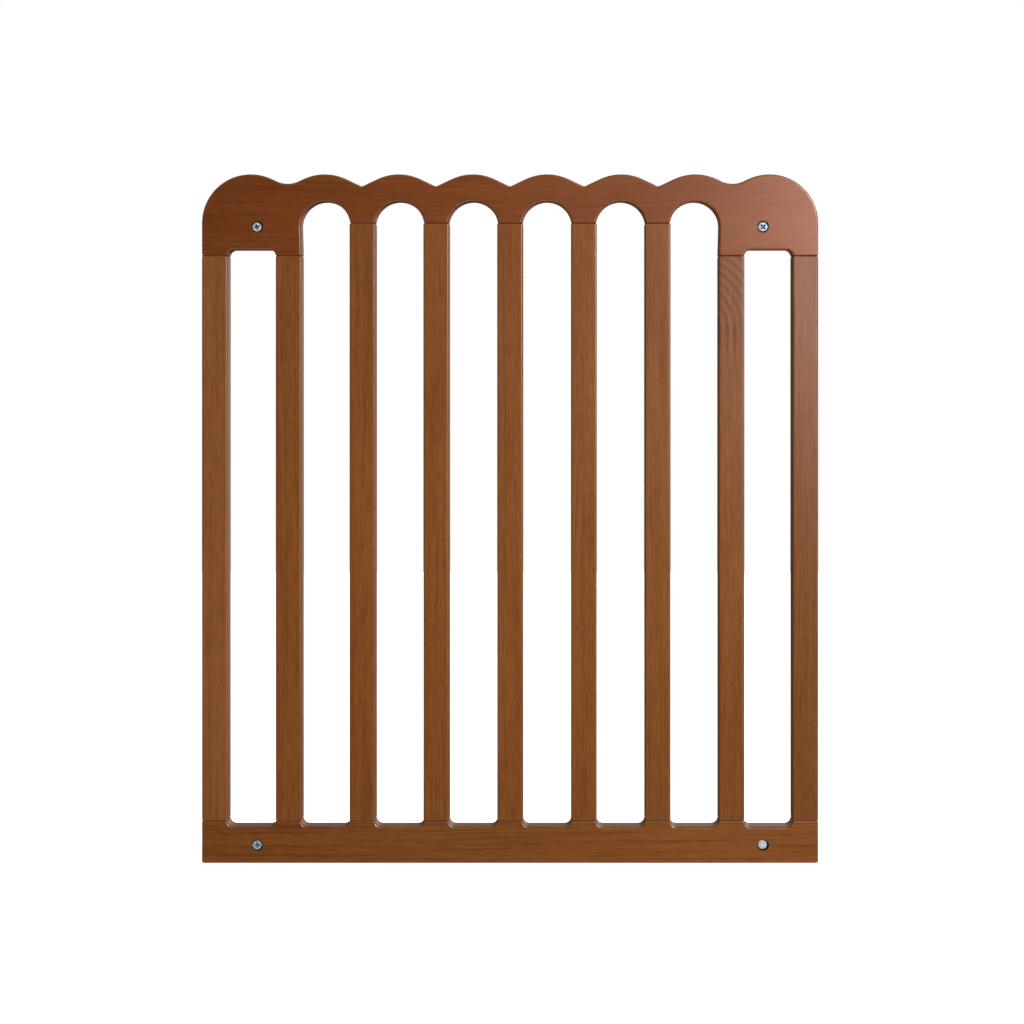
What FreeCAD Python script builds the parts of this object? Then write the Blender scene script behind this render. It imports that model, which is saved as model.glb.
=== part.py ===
"""Slatted wooden safety gate, clamped in a doorway by four screw-out feet.

Millimetres and degrees. Origin: middle of the underside of the bottom rail. X runs along the
rails, Y through the board (the front face looks towards -Y), Z is up.
"""
import FreeCAD, Part
import math
import os
import Sketcher

V = FreeCAD.Vector

# ----------------------------------------------------------------------------- driving dimensions
# alias, value, what it is
DIMENSIONS = [
    ("gate_width", 680, "length of both rails"),
    ("gate_height", 760, "floor to the crown of the scallops"),
    ("board_depth", 22, "thickness of rails and slats"),
    ("slat_count", 9, "slats, evenly spaced from end to end"),
    ("slat_width", 28.5, "width of a slat"),
    ("lower_joint", 47, "height of the joints on the bottom rail"),
    ("outer_joint", 670, "height of the joints under the end blocks"),
    ("middle_joint", 706, "height of the joints under the arches"),
    ("cutback", 6.8, "how far a rail's edge is cut back between slats"),
    ("cutback_round", 7, "radius in the corners of a cutback"),
    ("arch_crown", 730.2, "height of the top of the arches"),
    ("arch_round", 27.4, "radius of an arch, a little more than half a gap"),
    ("scallop_pitch", 81.8, "distance between the scallops' crowns"),
    ("scallop_round", 55.5, "radius of a scallop"),
    ("flank_slope", 25.5, "slope of a scallop's straight flanks"),
    ("valley_round", 3, "radius at the foot of the inner valleys"),
    ("end_valley_round", 28, "radius at the foot of the two outer valleys"),
    ("foot_round", 2.4, "radius of the bottom rail's lower corners"),
    ("edge_round", 2.2, "rounding of the long edges"),
    ("joint_round", 1.6, "rounding round each butt joint, which leaves a groove"),
    ("dowel_round", 4, "radius of a joint dowel"),
    ("dowel_length", 30, "length of a joint dowel"),
    ("dowel_spacing", 14, "distance between the two dowels of a joint"),
    ("dowel_bevel", 1, "bevel on the ends of a dowel"),
    ("glue_film", 0.05, "radial room round a dowel"),
    ("glue_end", 0.5, "room past the end of a dowel"),
    ("fixing_inset", 61, "barrel nut's axis, in from the end of the rail"),
    ("upper_fixing", 702, "height of the upper spindles"),
    ("lower_fixing", 20, "height of the lower spindles"),
    ("nut_round", 6, "radius of a barrel nut"),
    ("nut_room", 0.3, "radial room round a barrel nut"),
    ("nut_near", 9.5, "thread axis to the nearer visible end"),
    ("nut_far", 8, "thread axis to the other end"),
    ("nut_bevel", 0.8, "bevel on a barrel nut's ends"),
    ("nut_slot_width", 1.4, "width of the driver cross in a nut's end"),
    ("nut_slot_length", 7, "length of the driver cross"),
    ("nut_slot_depth", 1.6, "depth of the driver cross"),
    ("nut_hole_floor", 9.8, "depth of the nut's hole behind the board's middle"),
    ("thread_round", 4, "radius of the nut's thread"),
    ("thread_room", 0.05, "radial running room of spindle and journal"),
    ("mouth_bevel", 0.4, "bevel on the mouth of a drilled hole"),
    ("bore_round", 4.5, "radius of the rail's bore for the spindle"),
    ("bore_end", 108, "bottom of that bore, in from the rail's end"),
    ("spindle_end", 105, "inner end of the spindle, in from the rail's end"),
    ("spindle_start", 16.5, "outer end of the spindle's thread"),
    ("journal_end", 7.8, "outer end of the spindle's journal"),
    ("journal_round", 3, "radius of the journal"),
    ("key_sides", 6, "sides of the key and its socket"),
    ("key_round", 2.31, "half the width over corners of the socket"),
    ("key_depth", 4, "depth of the socket"),
    ("recess_round", 8, "radius of the recess that the foot sits in"),
    ("recess_end", 17.5, "depth of that recess"),
    ("cup_round", 7.2, "radius of the foot's plate and pad"),
    ("hub_round", 6, "radius of the cup's hub"),
    ("hub_end", 15.5, "inner end of the hub"),
    ("plate_end", 6.5, "inner face of the plate"),
    ("pad_end", 4.5, "joint between the plate and the pad"),
    ("pad_face", 0.5, "pad's face, in from the rail's end"),
    ("pad_round", 1, "rounding of the pad's rim"),
    ("key_hole_round", 2.6, "radius of the key's way through plate and pad"),
    ("shoulder", 7.3, "plate's shoulder in front of the journal"),
    ("ring_place", 13.5, "snap ring, in from the rail's end"),
    ("ring_round", 3.25, "radius of the snap ring's centre line"),
    ("ring_wire", 0.4, "radius of the snap ring's wire"),
    ("ring_arc", 320, "angle the snap ring runs through"),
    ("groove_half", 0.6, "half the width of the ring's grooves"),
    ("groove_inner", 2.75, "radius at the bottom of the journal's groove"),
    ("groove_outer", 3.8, "radius at the bottom of the hub's groove"),
]

# ------------------------------------------------------------------------------- derived lengths
PITCH = "((dims.gate_width - dims.slat_width) / (dims.slat_count - 1))"
HALF_WIDTH = "(dims.gate_width / 2)"
HALF_SLAT = "(dims.slat_width / 2)"
HALF_DEPTH = "(dims.board_depth / 2)"
HALF_GAP = "(({0} - dims.slat_width) / 2)".format(PITCH)
ARCH_CENTRE = "(dims.arch_crown - dims.arch_round)"
# an arch beside an end block runs into a line to the slat's corner; the line leaves the circle
# this far below the centre
ARCH_DROP = "({0} - dims.outer_joint)".format(ARCH_CENTRE)
ARCH_RUN = "sqrt({0} ^ 2 + {1} ^ 2)".format(HALF_GAP, ARCH_DROP)
ARCH_LEAVE = "(atan({0} / {1}) - acos(dims.arch_round / {2}))".format(
    ARCH_DROP, HALF_GAP, ARCH_RUN)
# a scallop's crown stands over each gap, so the outermost two are this far from the middle
OUTER_CROWN = "((dims.slat_count - 2) / 2 * dims.scallop_pitch)"
CORNER_ROUND = "({0} - {1})".format(HALF_WIDTH, OUTER_CROWN)
DOWEL_HOLE = "(dims.dowel_length / 2 + dims.glue_end)"

CORNERS = {
    # corner: which end (-1 left, +1 right), height, nut turned end for end, driver cross showing
    "top_left": (-1, "dims.upper_fixing", True, True),
    "top_right": (1, "dims.upper_fixing", False, True),
    "bottom_left": (-1, "dims.lower_fixing", False, True),
    "bottom_right": (1, "dims.lower_fixing", True, False),
}
EXACT = 1e-4                    # two places closer than this are the same

doc = FreeCAD.newDocument("safety_gate")


def make_sheet():
    """The spreadsheet of driving dimensions."""
    sheet = doc.addObject("Spreadsheet::Sheet", "dims")
    for row, (alias, value, note) in enumerate(DIMENSIONS, start=1):
        sheet.set("A{0}".format(row), note)
        sheet.set("B{0}".format(row), str(value))
        sheet.setAlias("B{0}".format(row), alias)
    doc.recompute()
    return sheet


dims = make_sheet()


def value(expression):
    """The number that an expression over the sheet comes to."""
    return float(dims.evalExpression(expression))


SLATS = int(value("dims.slat_count"))
MIDDLE = (SLATS + 1) // 2                       # the slat on the centre line
SHORT_SLATS = (1, 2, SLATS - 1, SLATS)          # those under the end blocks


def slat_place(number):
    """X of a slat's centre line, as an expression."""
    return "({0} * {1})".format(number - MIDDLE, PITCH)


# --------------------------------------------------------------------------------- sketch helpers
def origin_part(body, role):
    """One of the body's own origin planes or axes."""
    return [part for part in body.Origin.OriginFeatures if part.Role == role][0]


def new_body(name):
    body = doc.addObject("PartDesign::Body", name)
    body.Label = name
    return body


def new_sketch(body, name, role, offset=None):
    """A sketch on one of the body's origin planes, lifted by an expression along its normal."""
    sketch = body.newObject("Sketcher::SketchObject", name)
    sketch.AttachmentSupport = [(origin_part(body, role), "")]
    sketch.MapMode = "FlatFace"
    if offset:
        sketch.setExpression("AttachmentOffset.Base.z", offset)
    return sketch


def pin_point(sketch, geometry, point, across, up):
    """Bind a point's two coordinates to expressions."""
    for kind, expression in (("DistanceX", across), ("DistanceY", up)):
        rule = sketch.addConstraint(
            Sketcher.Constraint(kind, -1, 1, geometry, point, value(expression)))
        sketch.setExpression("Constraints[{0}]".format(rule), expression)


def bind_radius(sketch, geometry, expression):
    rule = sketch.addConstraint(Sketcher.Constraint("Radius", geometry, value(expression)))
    sketch.setExpression("Constraints[{0}]".format(rule), expression)


def add_circle(sketch, across, up, radius):
    centre = V(value(across), value(up), 0)
    circle = sketch.addGeometry(Part.Circle(centre, V(0, 0, 1), value(radius)), False)
    pin_point(sketch, circle, 3, across, up)
    bind_radius(sketch, circle, radius)


def short_arc(start, end, radius, turn):
    """The arc under half a circle from start to end; turn is +1 to the left, -1 to the right."""
    chord = end - start
    rise = math.sqrt(max(radius ** 2 - (chord.Length / 2) ** 2, 0))
    side = V(-chord.y, chord.x, 0).normalize()
    centre = start + chord * 0.5 + side * rise * turn
    first, last = (start, end) if turn > 0 else (end, start)
    angles = [math.atan2(p.y - centre.y, p.x - centre.x) for p in (first, last)]
    return Part.ArcOfCircle(Part.Circle(centre, V(0, 0, 1), radius), angles[0], angles[1])


def draw_outline(sketch, steps):
    """A closed outline. Each step is (x, y) or (x, y, radius, turn): the point, and if an arc
    leads from it to the next one, the arc's radius and the way it turns."""
    places = [V(value(step[0]), value(step[1]), 0) for step in steps]
    edges = []
    for number, step in enumerate(steps):
        start = places[number]
        end = places[(number + 1) % len(steps)]
        if len(step) == 2:
            edges.append((sketch.addGeometry(Part.LineSegment(start, end), False), 1, 2))
            continue
        arc = sketch.addGeometry(short_arc(start, end, value(step[2]), step[3]), False)
        edges.append((arc, 1, 2) if step[3] > 0 else (arc, 2, 1))
    joins = []
    for number, (edge, _, last) in enumerate(edges):
        after, first, _ = edges[(number + 1) % len(edges)]
        joins.append(Sketcher.Constraint("Coincident", edge, last, after, first))
    sketch.addConstraint(joins)
    for (edge, first, _), step in zip(edges, steps):
        pin_point(sketch, edge, first, step[0], step[1])
        if len(step) == 4:
            bind_radius(sketch, edge, step[2])


def add_pad(body, sketch, name, length, midplane=False, reverse=False):
    pad = body.newObject("PartDesign::Pad", name)
    pad.Profile = sketch
    pad.setExpression("Length", length)
    pad.Midplane = midplane
    pad.Reversed = reverse


def add_pocket(body, sketch, name, length, midplane=False, reverse=False):
    """A pocket, checked to have taken material away."""
    doc.recompute()
    before = body.Shape.Volume
    pocket = body.newObject("PartDesign::Pocket", name)
    pocket.Profile = sketch
    pocket.setExpression("Length", length)
    pocket.Midplane = midplane
    pocket.Reversed = reverse
    doc.recompute()
    if not body.Shape.Volume < before - EXACT:
        raise RuntimeError("{0} cuts nothing".format(name))
    return pocket


def add_mirror(body, originals, name, role):
    mirror = body.newObject("PartDesign::Mirrored", name)
    mirror.Originals = originals
    mirror.MirrorPlane = (origin_part(body, role), [""])
    body.Tip = mirror
    doc.recompute()


def dress(body, kind, name, choose, size):
    """Fillet or chamfer the edges of the body's tip that the rule accepts."""
    doc.recompute()
    base = body.Tip
    names = ["Edge{0}".format(number)
             for number, edge in enumerate(base.Shape.Edges, start=1) if choose(edge)]
    feature = body.newObject("PartDesign::" + kind, name)
    feature.Base = (base, names)
    feature.setExpression("Radius" if kind == "Fillet" else "Size", size)
    doc.recompute()
    if "Invalid" in feature.State or not feature.Shape.isValid():
        raise RuntimeError("{0} failed on {1} edges".format(name, len(names)))
    return feature


def lies_at(edge, axis, place):
    """Whether an edge lies wholly in the plane axis = place."""
    box = edge.BoundBox
    low = getattr(box, axis.upper() + "Min")
    high = getattr(box, axis.upper() + "Max")
    return abs(low - place) < EXACT and abs(high - place) < EXACT


def place(body, across, up):
    body.setExpression("Placement.Base.x", across)
    body.setExpression("Placement.Base.z", up)


# ---------------------------------------------------------------------------------------- outlines
def scallop_line():
    """Steps along the top of the top rail, from the crown of the first scallop to the last."""
    reach = "(dims.scallop_round * sin(dims.flank_slope))"
    fall = "(dims.scallop_round * (1 - cos(dims.flank_slope)))"
    shoulder = "(dims.gate_height - {0})".format(fall)
    flank = "(dims.scallop_pitch / 2 - {0})".format(reach)
    flank_foot = "({0} - {1} * tan(dims.flank_slope))".format(shoulder, flank)
    steps = []
    for number in range(2, SLATS):      # a valley over every slat but the two outermost
        middle = "({0} * dims.scallop_pitch)".format(number - MIDDLE)
        size = "dims.end_valley_round" if number in SHORT_SLATS else "dims.valley_round"
        half = "({0} * sin(dims.flank_slope))".format(size)
        foot = "({0} + {1} * tan(dims.flank_slope))".format(flank_foot, half)
        before = "({0} - {1})".format(middle, flank)
        after = "({0} + {1})".format(middle, flank)
        steps.append((before, shoulder))
        steps.append(("({0} - {1})".format(middle, half), foot, size, 1))
        steps.append(("({0} + {1})".format(middle, half), foot))
        steps.append((after, shoulder, "dims.scallop_round", -1))
    return steps


def cutback(first, second, joint, way):
    """Steps across the cut-back stretch between two slat edges; way is +1 when it is cut
    upwards and -1 when downwards. The path runs from the first edge to the second."""
    along = 1 if value(second) > value(first) else -1
    floor = "({0} + {1} * dims.cutback)".format(joint, way)
    bend = "sqrt(dims.cutback_round ^ 2 - (dims.cutback_round - dims.cutback) ^ 2)"
    turn = -way * along
    return [
        (first, joint, "dims.cutback_round", turn),
        ("({0} + {1} * {2})".format(first, along, bend), floor),
        ("({0} - {1} * {2})".format(second, along, bend), floor, "dims.cutback_round", turn),
    ]


def slat_edge(number, side):
    """X of a slat's left (-1) or right (+1) edge."""
    return "({0} + {1} * {2})".format(slat_place(number), side, HALF_SLAT)


def arch(number):
    """Steps along the arch on the left of a slat, from right to left."""
    middle = "({0} - {1} / 2)".format(slat_place(number), PITCH)
    half = "sqrt(dims.arch_round ^ 2 - (dims.middle_joint - {0}) ^ 2)".format(ARCH_CENTRE)
    out = "(dims.arch_round * cos({0}))".format(ARCH_LEAVE)
    leave = "({0} - dims.arch_round * sin({1}))".format(ARCH_CENTRE, ARCH_LEAVE)
    steps = []
    if number in SHORT_SLATS:
        steps.append((slat_edge(number, -1), "dims.outer_joint"))
        steps.append(("({0} + {1})".format(middle, out), leave, "dims.arch_round", 1))
    else:
        steps.append(("({0} + {1})".format(middle, half), "dims.middle_joint",
                      "dims.arch_round", 1))
    if number - 1 in SHORT_SLATS:
        steps.append(("({0} - {1})".format(middle, out), leave))
        steps.append((slat_edge(number - 1, 1), "dims.outer_joint"))
    else:
        steps.append(("({0} - {1})".format(middle, half), "dims.middle_joint"))
    return steps


def top_outline():
    """The top rail from the front, clockwise from its lower left corner."""
    left = "(-{0})".format(HALF_WIDTH)
    spring = "(dims.gate_height - {0})".format(CORNER_ROUND)
    crown_left = "({0} + {1})".format(left, CORNER_ROUND)
    crown_right = "({0} - {1})".format(HALF_WIDTH, CORNER_ROUND)
    steps = [
        (left, "dims.outer_joint"),
        (left, spring, CORNER_ROUND, -1),
        (crown_left, "dims.gate_height", "dims.scallop_round", -1),
    ]
    steps += scallop_line()
    steps += [
        (crown_right, "dims.gate_height", CORNER_ROUND, -1),
        (HALF_WIDTH, spring),
        (HALF_WIDTH, "dims.outer_joint"),
    ]
    steps += cutback(slat_edge(SLATS, -1), slat_edge(SLATS - 1, 1), "dims.outer_joint", 1)
    steps.append((slat_edge(SLATS - 1, 1), "dims.outer_joint"))
    for number in range(SLATS - 1, 2, -1):
        steps += arch(number)
    steps += cutback(slat_edge(2, -1), slat_edge(1, 1), "dims.outer_joint", 1)
    steps.append((slat_edge(1, 1), "dims.outer_joint"))
    return steps


def bottom_outline():
    """The bottom rail from the front, clockwise from its upper left corner."""
    steps = [("(-{0})".format(HALF_WIDTH), "dims.lower_joint")]
    for number in range(1, SLATS):
        steps += cutback(slat_edge(number, 1), slat_edge(number + 1, -1), "dims.lower_joint", -1)
        steps.append((slat_edge(number + 1, -1), "dims.lower_joint"))
    steps += [
        (HALF_WIDTH, "dims.lower_joint"),
        (HALF_WIDTH, "dims.foot_round", "dims.foot_round", -1),
        ("({0} - dims.foot_round)".format(HALF_WIDTH), "0"),
        ("(dims.foot_round - {0})".format(HALF_WIDTH), "0", "dims.foot_round", -1),
        ("(-{0})".format(HALF_WIDTH), "dims.foot_round"),
    ]
    return steps


# ------------------------------------------------------------------------------------------- rails
def round_rail(body, joints):
    """Round the rail's long edges, then the edges round each butt joint."""
    half_depth = value(HALF_DEPTH)

    def on_joint(edge):
        return any(lies_at(edge, "z", value(joint)) for joint in joints)

    def on_face(edge):
        return lies_at(edge, "y", half_depth) or lies_at(edge, "y", -half_depth)

    dress(body, "Fillet", body.Name + "_long_edges",
          lambda edge: on_face(edge) and not on_joint(edge), "dims.edge_round")
    dress(body, "Fillet", body.Name + "_joint_edges", on_joint, "dims.joint_round")


def drill_dowels(body, name, joint, slats, upwards):
    """The holes for both dowels of each joint at one height."""
    sketch = new_sketch(body, name + "_places", "XY_Plane", joint)
    for number in slats:
        for side in (-1, 1):
            across = "({0} + {1} * dims.dowel_spacing / 2)".format(slat_place(number), side)
            add_circle(sketch, across, "0", "(dims.dowel_round + dims.glue_film)")
    add_pocket(body, sketch, name, DOWEL_HOLE, reverse=upwards)


def drill_fixings(body, height):
    """At both ends: the foot's recess, the spindle's bore and the barrel nut's hole."""
    name = body.Name
    cuts = []
    for label, radius, depth in (("recess", "dims.recess_round", "dims.recess_end"),
                                 ("bore", "dims.bore_round", "dims.bore_end")):
        sketch = new_sketch(body, "{0}_{1}_circle".format(name, label), "YZ_Plane", HALF_WIDTH)
        add_circle(sketch, "0", height, radius)
        cuts.append(add_pocket(body, sketch, "{0}_{1}".format(name, label), depth))
    sketch = new_sketch(body, name + "_nut_circle", "XZ_Plane", HALF_DEPTH)
    add_circle(sketch, "({0} - dims.fixing_inset)".format(HALF_WIDTH), height,
               "(dims.nut_round + dims.nut_room)")
    depth = "({0} + dims.nut_hole_floor)".format(HALF_DEPTH)
    cuts.append(add_pocket(body, sketch, name + "_nut_hole", depth))
    add_mirror(body, cuts, name + "_other_end", "YZ_Plane")

    def mouth(edge):
        full = edge.Closed and len(edge.Vertexes) == 1
        at_end = any(lies_at(edge, "x", side * value(HALF_WIDTH)) for side in (-1, 1))
        return full and (at_end or lies_at(edge, "y", -value(HALF_DEPTH)))

    dress(body, "Chamfer", name + "_mouths", mouth, "dims.mouth_bevel")


def make_top_rail():
    body = new_body("top_rail")
    sketch = new_sketch(body, "top_rail_outline", "XZ_Plane")
    draw_outline(sketch, top_outline())
    add_pad(body, sketch, "top_rail_board", "dims.board_depth", midplane=True)
    round_rail(body, ("dims.outer_joint", "dims.middle_joint"))
    long_slats = [number for number in range(1, SLATS + 1) if number not in SHORT_SLATS]
    drill_dowels(body, "top_rail_outer_dowel_holes", "dims.outer_joint", SHORT_SLATS, True)
    drill_dowels(body, "top_rail_middle_dowel_holes", "dims.middle_joint", long_slats, True)
    drill_fixings(body, "dims.upper_fixing")
    return body


def make_bottom_rail():
    body = new_body("bottom_rail")
    sketch = new_sketch(body, "bottom_rail_outline", "XZ_Plane")
    draw_outline(sketch, bottom_outline())
    add_pad(body, sketch, "bottom_rail_board", "dims.board_depth", midplane=True)
    round_rail(body, ("dims.lower_joint",))
    drill_dowels(body, "bottom_rail_dowel_holes", "dims.lower_joint", range(1, SLATS + 1), False)
    drill_fixings(body, "dims.lower_fixing")
    return body


# ------------------------------------------------------------------------------- slats and dowels
def make_slat(number):
    """A slat, centred on its own middle."""
    body = new_body("slat_{0}".format(number))
    name = body.Name
    joint = "dims.outer_joint" if number in SHORT_SLATS else "dims.middle_joint"
    length = "({0} - dims.lower_joint)".format(joint)
    half = "({0} / 2)".format(length)
    section = new_sketch(body, name + "_section", "XY_Plane")
    left = "(-{0})".format(HALF_SLAT)
    front = "(-{0})".format(HALF_DEPTH)
    draw_outline(section, [(left, front), (HALF_SLAT, front), (HALF_SLAT, HALF_DEPTH),
                           (left, HALF_DEPTH)])
    add_pad(body, section, name + "_bar", length, midplane=True)

    def at_end(edge):
        return any(lies_at(edge, "z", side * value(half)) for side in (-1, 1))

    dress(body, "Fillet", name + "_long_edges", lambda edge: not at_end(edge), "dims.edge_round")
    dress(body, "Fillet", name + "_ends", at_end, "dims.joint_round")
    holes = new_sketch(body, name + "_dowel_places", "XY_Plane", half)
    for side in (-1, 1):
        add_circle(holes, "({0} * dims.dowel_spacing / 2)".format(side), "0",
                   "(dims.dowel_round + dims.glue_film)")
    pocket = add_pocket(body, holes, name + "_dowel_holes", DOWEL_HOLE)
    add_mirror(body, [pocket], name + "_lower_dowel_holes", "XY_Plane")
    place(body, slat_place(number), "(({0} + dims.lower_joint) / 2)".format(joint))
    return body


def make_dowels(number, end):
    """The two dowels that join one end of a slat to its rail."""
    body = new_body("dowels_slat_{0}_{1}".format(number, end))
    name = body.Name
    pin = body.newObject("PartDesign::AdditiveCylinder", name + "_pin")
    pin.AttachmentSupport = [(origin_part(body, "XY_Plane"), "")]
    pin.MapMode = "FlatFace"
    pin.setExpression("Radius", "dims.dowel_round")
    pin.setExpression("Height", "dims.dowel_length")
    pin.setExpression("AttachmentOffset.Base.x", "-dims.dowel_spacing / 2")
    pin.setExpression("AttachmentOffset.Base.z", "-dims.dowel_length / 2")
    half = value("dims.dowel_length / 2")

    def rim(edge):
        return any(lies_at(edge, "z", side * half) for side in (-1, 1))

    bevel = dress(body, "Chamfer", name + "_bevels", rim, "dims.dowel_bevel")
    pair = body.newObject("PartDesign::LinearPattern", name + "_pair")
    pair.Originals = [pin, bevel]
    pair.Direction = (origin_part(body, "X_Axis"), [""])
    pair.setExpression("Length", "dims.dowel_spacing")
    pair.Occurrences = 2
    body.Tip = pair
    joint = "dims.lower_joint"
    if end == "top":
        joint = "dims.outer_joint" if number in SHORT_SLATS else "dims.middle_joint"
    place(body, slat_place(number), joint)
    return body


# --------------------------------------------------------------------------- barrel nuts and feet
def place_fixing(body, side, height):
    """Put a fixing piece, made for the right end, at its own end of the rail."""
    if side < 0:
        body.Placement = FreeCAD.Placement(V(0, 0, 0), FreeCAD.Rotation(V(0, 0, 1), 180))
    place(body, "({0} * {1})".format(side, HALF_WIDTH), height)


def make_barrel_nut(corner):
    """A cross dowel with its thread along X; its visible end looks towards -Y."""
    side, height, turned, cross = CORNERS[corner]
    body = new_body("barrel_nut_" + corner)
    name = body.Name
    front = "dims.nut_far" if turned else "dims.nut_near"
    circle = new_sketch(body, name + "_circle", "XZ_Plane", front)
    add_circle(circle, "0", "0", "dims.nut_round")
    add_pad(body, circle, name + "_barrel", "(dims.nut_near + dims.nut_far)", reverse=True)
    dress(body, "Chamfer", name + "_bevels",
          lambda edge: edge.Closed and not lies_at(edge, "x", 0), "dims.nut_bevel")
    thread = new_sketch(body, name + "_thread_circle", "YZ_Plane")
    add_circle(thread, "0", "0", "dims.thread_round")
    well_past = "(3 * dims.nut_round)"
    add_pocket(body, thread, name + "_thread", well_past, midplane=True)
    if cross:
        long_half = "(dims.nut_slot_length / 2)"
        short_half = "(dims.nut_slot_width / 2)"
        for label, wide, high in (("level", long_half, short_half),
                                  ("upright", short_half, long_half)):
            slot = new_sketch(body, "{0}_{1}_slot".format(name, label), "XZ_Plane", front)
            draw_outline(slot, [("-" + wide, "-" + high), (wide, "-" + high), (wide, high),
                                ("-" + wide, high)])
            add_pocket(body, slot, "{0}_{1}_cut".format(name, label), "dims.nut_slot_depth")
    place(body, "({0} * ({1} - dims.fixing_inset))".format(side, HALF_WIDTH), height)
    return body


def turn_profile(body, steps):
    """A turned piece: the half outline spun about the body's X axis."""
    sketch = new_sketch(body, body.Name + "_profile", "XZ_Plane")
    draw_outline(sketch, steps)
    spin = body.newObject("PartDesign::Revolution", body.Name + "_turning")
    spin.Profile = sketch
    spin.ReferenceAxis = (origin_part(body, "X_Axis"), [""])
    spin.Angle = 360
    doc.recompute()


def make_spindle(corner):
    """The threaded spindle, with a journal for the foot and a key's socket in its end."""
    side, height = CORNERS[corner][:2]
    body = new_body("spindle_" + corner)
    shaft = "(dims.thread_round - dims.thread_room)"
    turn_profile(body, [
        ("-dims.spindle_end", "0"),
        ("-dims.spindle_end", "({0} - dims.nut_bevel)".format(shaft)),
        ("(dims.nut_bevel - dims.spindle_end)", shaft),
        ("-dims.spindle_start", shaft),
        ("-dims.spindle_start", "dims.journal_round"),
        ("-(dims.ring_place + dims.groove_half)", "dims.journal_round"),
        ("-(dims.ring_place + dims.groove_half)", "dims.groove_inner"),
        ("-(dims.ring_place - dims.groove_half)", "dims.groove_inner"),
        ("-(dims.ring_place - dims.groove_half)", "dims.journal_round"),
        ("-dims.journal_end", "dims.journal_round"),
        ("-dims.journal_end", "0"),
    ])
    socket = new_sketch(body, body.Name + "_socket", "YZ_Plane", "-dims.journal_end")
    corners = []
    for number in range(int(value("dims.key_sides"))):
        turn = "({0} * 360 / dims.key_sides)".format(number)
        corners.append(("(dims.key_round * cos({0}))".format(turn),
                        "(dims.key_round * sin({0}))".format(turn)))
    draw_outline(socket, corners)
    add_pocket(body, socket, body.Name + "_key_socket", "dims.key_depth")
    place_fixing(body, side, height)
    return body


def make_foot_cup(corner):
    """The foot's steel plate, with a hub that turns on the spindle's journal."""
    side, height = CORNERS[corner][:2]
    body = new_body("foot_cup_" + corner)
    hole = "(dims.journal_round + dims.thread_room)"
    turn_profile(body, [
        ("-dims.hub_end", hole),
        ("-dims.hub_end", "dims.hub_round"),
        ("-dims.plate_end", "dims.hub_round"),
        ("-dims.plate_end", "dims.cup_round"),
        ("-dims.pad_end", "dims.cup_round"),
        ("-dims.pad_end", "dims.key_hole_round"),
        ("-dims.shoulder", "dims.key_hole_round"),
        ("-dims.shoulder", hole),
        ("-(dims.ring_place - dims.groove_half)", hole),
        ("-(dims.ring_place - dims.groove_half)", "dims.groove_outer"),
        ("-(dims.ring_place + dims.groove_half)", "dims.groove_outer"),
        ("-(dims.ring_place + dims.groove_half)", hole),
    ])
    place_fixing(body, side, height)
    return body


def make_foot_pad(corner):
    """The rubber pad on the plate, with a hole for the key."""
    side, height = CORNERS[corner][:2]
    body = new_body("foot_pad_" + corner)
    turn_profile(body, [
        ("-dims.pad_end", "dims.key_hole_round"),
        ("-dims.pad_end", "dims.cup_round"),
        ("-(dims.pad_face + dims.pad_round)", "dims.cup_round", "dims.pad_round", -1),
        ("-dims.pad_face", "(dims.cup_round - dims.pad_round)"),
        ("-dims.pad_face", "dims.key_hole_round"),
    ])
    place_fixing(body, side, height)
    return body


def make_snap_ring(corner):
    """The open wire ring between the journal's groove and the hub's."""
    side, height = CORNERS[corner][:2]
    ring = doc.addObject("Part::Torus", "snap_ring_" + corner)
    ring.Label = ring.Name
    ring.setExpression("Radius1", "dims.ring_round")
    ring.setExpression("Radius2", "dims.ring_wire")
    ring.setExpression("Angle3", "dims.ring_arc")
    ring.Placement = FreeCAD.Placement(V(0, 0, 0), FreeCAD.Rotation(V(0, 1, 0), 90))
    place(ring, "({0} * ({1} - dims.ring_place))".format(side, HALF_WIDTH), height)
    return ring


# ----------------------------------------------------------------------------------------- assembly
def make_parts():
    parts = [make_top_rail(), make_bottom_rail()]
    for number in range(1, SLATS + 1):
        parts.append(make_slat(number))
        parts.append(make_dowels(number, "top"))
        parts.append(make_dowels(number, "bottom"))
    for corner in CORNERS:
        parts.append(make_barrel_nut(corner))
        parts.append(make_spindle(corner))
        parts.append(make_foot_cup(corner))
        parts.append(make_foot_pad(corner))
        parts.append(make_snap_ring(corner))
    return parts


def check(parts):
    """Stop if anything failed to build."""
    for item in doc.Objects:
        if "Invalid" in item.State or "Error" in item.State:
            raise RuntimeError("{0}: {1}".format(item.Name, item.State))
    for part in parts:
        if part.Shape.isNull() or not part.Shape.isValid():
            raise RuntimeError("{0} has no valid shape".format(part.Label))


def main():
    parts = make_parts()
    doc.recompute()
    check(parts)
    os.makedirs("parts", exist_ok=True)
    for part in parts:
        part.Shape.exportStep("parts/{0}.step".format(part.Label))
        box = part.Shape.BoundBox
        print("{0:26s} {1} solid(s) {2:10.1f} mm3  x {3:7.1f} {4:7.1f}  z {5:6.1f} {6:6.1f}".format(
            part.Label, len(part.Shape.Solids), part.Shape.Volume,
            box.XMin, box.XMax, box.ZMin, box.ZMax))


main()
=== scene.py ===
"""Looks of the slatted safety gate: stained beech, zinc-plated fittings and rubber feet."""
import math

import bmesh
import bpy
from mathutils import Matrix, Vector


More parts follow.
